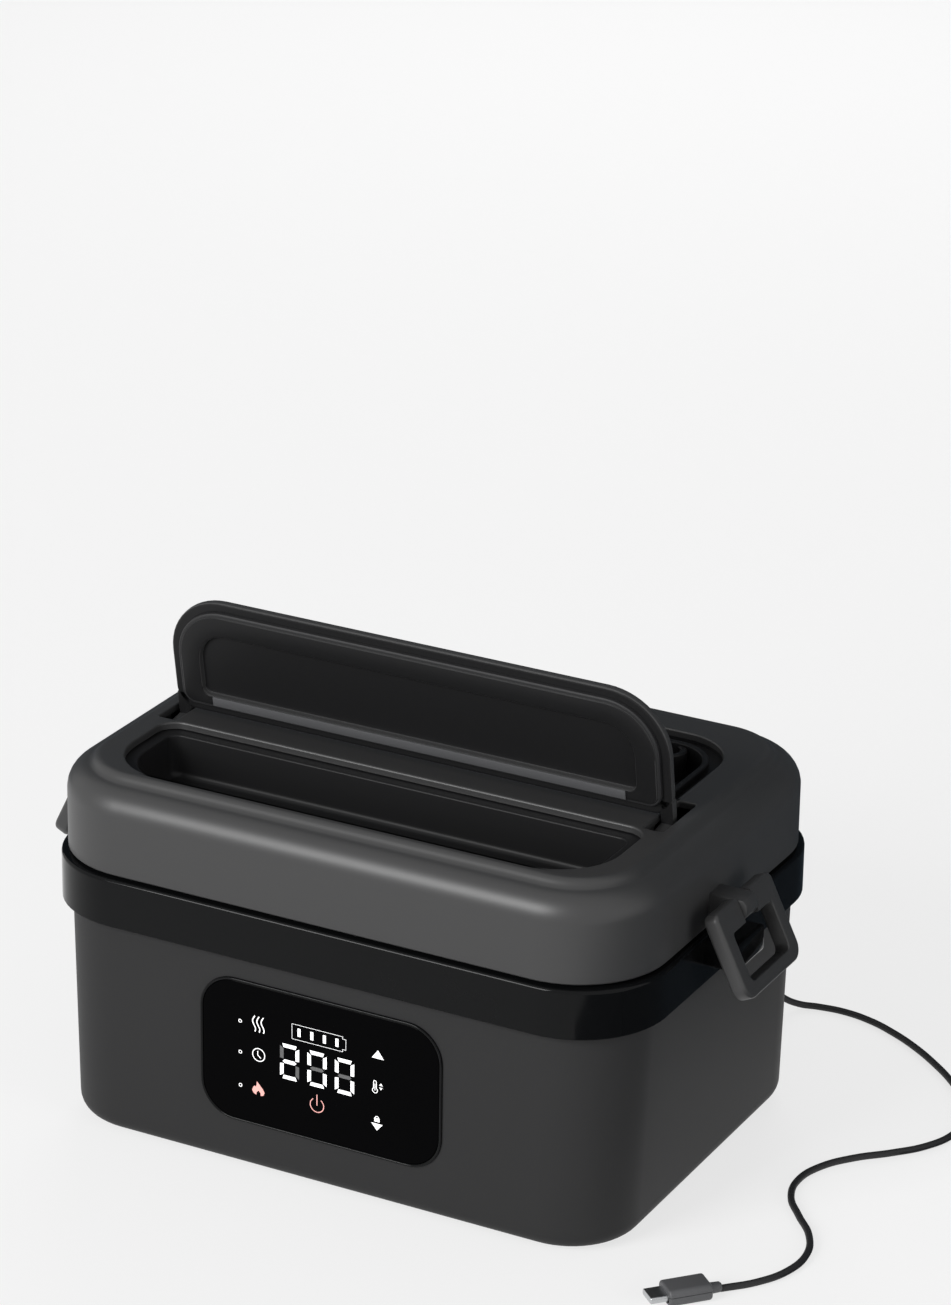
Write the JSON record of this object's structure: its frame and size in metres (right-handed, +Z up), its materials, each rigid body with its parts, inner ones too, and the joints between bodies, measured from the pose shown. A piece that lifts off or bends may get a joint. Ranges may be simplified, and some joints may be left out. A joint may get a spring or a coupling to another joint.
{
  "type": "electric lunch box",
  "caption": "Battery heated lunch box: base with control panel and heated well, steel food tray, vented inner lid, and outer lid with compartments, hinged flap and side latches.",
  "frame": {"origin": "middle of the footprint on the surface that the rubber feet stand on", "axes": "+X to the right side, -Y towards the control panel, +Z up"},
  "size_m": [0.3253, 0.2394, 0.1892],
  "materials": {
    "matte_body": "dark grey plastic with a fine matte grain",
    "matte_lid": "charcoal plastic with a fine matte grain",
    "gloss_black": "polished black plastic",
    "panel_glass": "polished black window with lit symbols",
    "steel": "polished stainless steel",
    "smoke": "smoky translucent plastic",
    "valve_orange": "satin silicone rubber",
    "clear_silicone": "translucent silicone rubber",
    "rubber_black": "matte black rubber",
    "small_steel": "plated steel",
    "board_green": "solder mask on glass fibre board",
    "dark_plastic": "dark grey moulded plastic",
    "cell_wrap": "shrink sleeve",
    "heater_film": "amber heating film",
    "insulation": "pressed white insulation felt",
    "wire_red": "silicone wire sleeve"
  },
  "bodies": {
    "base": {"base_shell": "matte_body", "bottom_cover": "matte_body", "rubber_feet": "rubber_black", "bottom_screws": "small_steel", "top_deck": "gloss_black", "heating_pot": "gloss_black", "pot_seal": "rubber_black", "pot_screws": "small_steel", "heater_film": "heater_film", "heater_clamp_plate": "small_steel", "temperature_probe": "insulation", "thermal_fuse": "insulation", "insulation_wrap": "insulation", "insulation_pad": "insulation", "battery_cells": "cell_wrap", "battery_holder": "dark_plastic", "battery_strips": "small_steel", "control_board": "board_green", "board_parts": "dark_plastic", "board_screws": "small_steel", "usb_sockets": "small_steel", "heater_lead": "wire_red", "display_lead": "dark_plastic", "display_board": "board_green", "display_module": "insulation", "display_screws": "small_steel", "panel_window": "panel_glass", "panel_bezel": "gloss_black", "usb_cord": "rubber_black", "cord_base_plug": "dark_plastic", "cord_free_plug": "dark_plastic"},
    "tray": {"food_tray": "steel"},
    "inner_lid": {"inner_lid_panel": "smoke", "inner_lid_gasket": "clear_silicone"},
    "valve": {"steam_valve": "valve_orange"},
    "lid": {"lid_shell": "matte_lid", "lid_liner": "gloss_black", "lid_gasket": "rubber_black", "lid_screws": "small_steel", "front_compartment": "matte_lid", "rear_compartment": "matte_lid", "flap_pins": "small_steel", "latch_pins": "small_steel"},
    "flap": {"flap": "matte_lid", "flap_seal": "rubber_black", "flap_pad": "dark_plastic"},
    "left_loop": {"latch_loop_left": "matte_lid"},
    "right_loop": {"latch_loop_right": "matte_lid"}
  },
  "joints": [
    {"name": "tray_lift", "type": "slide", "parent": "base", "child": "tray", "axis": [0, 0, 1], "range_m": [0, 0.0777]},
    {"name": "inner_lid_lift", "type": "slide", "parent": "tray", "child": "inner_lid", "axis": [0, 0, 1], "range_m": [0, 0.0647]},
    {"name": "valve_lift", "type": "slide", "parent": "inner_lid", "child": "valve", "axis": [0, 0, -1], "range_m": [-0.0035, 0]},
    {"name": "outer_lid_lift", "type": "slide", "parent": "inner_lid", "child": "lid", "axis": [0, 0, 1], "range_m": [0, 0.066]},
    {"name": "flap_hinge", "type": "hinge", "parent": "lid", "child": "flap", "pos_m": [0, -0.0178, 0.1346], "axis": [-1, 0, 0], "range_deg": [-80.5, 0]},
    {"name": "left_latch", "type": "hinge", "parent": "lid", "child": "left_loop", "pos_m": [-0.128, -0.0127, 0.115], "axis": [0, -1, 0], "range_deg": [-64, 26]},
    {"name": "right_latch", "type": "hinge", "parent": "lid", "child": "right_loop", "pos_m": [0.128, -0.0127, 0.115], "axis": [0, 1, 0], "range_deg": [-64, 26]}
  ]
}
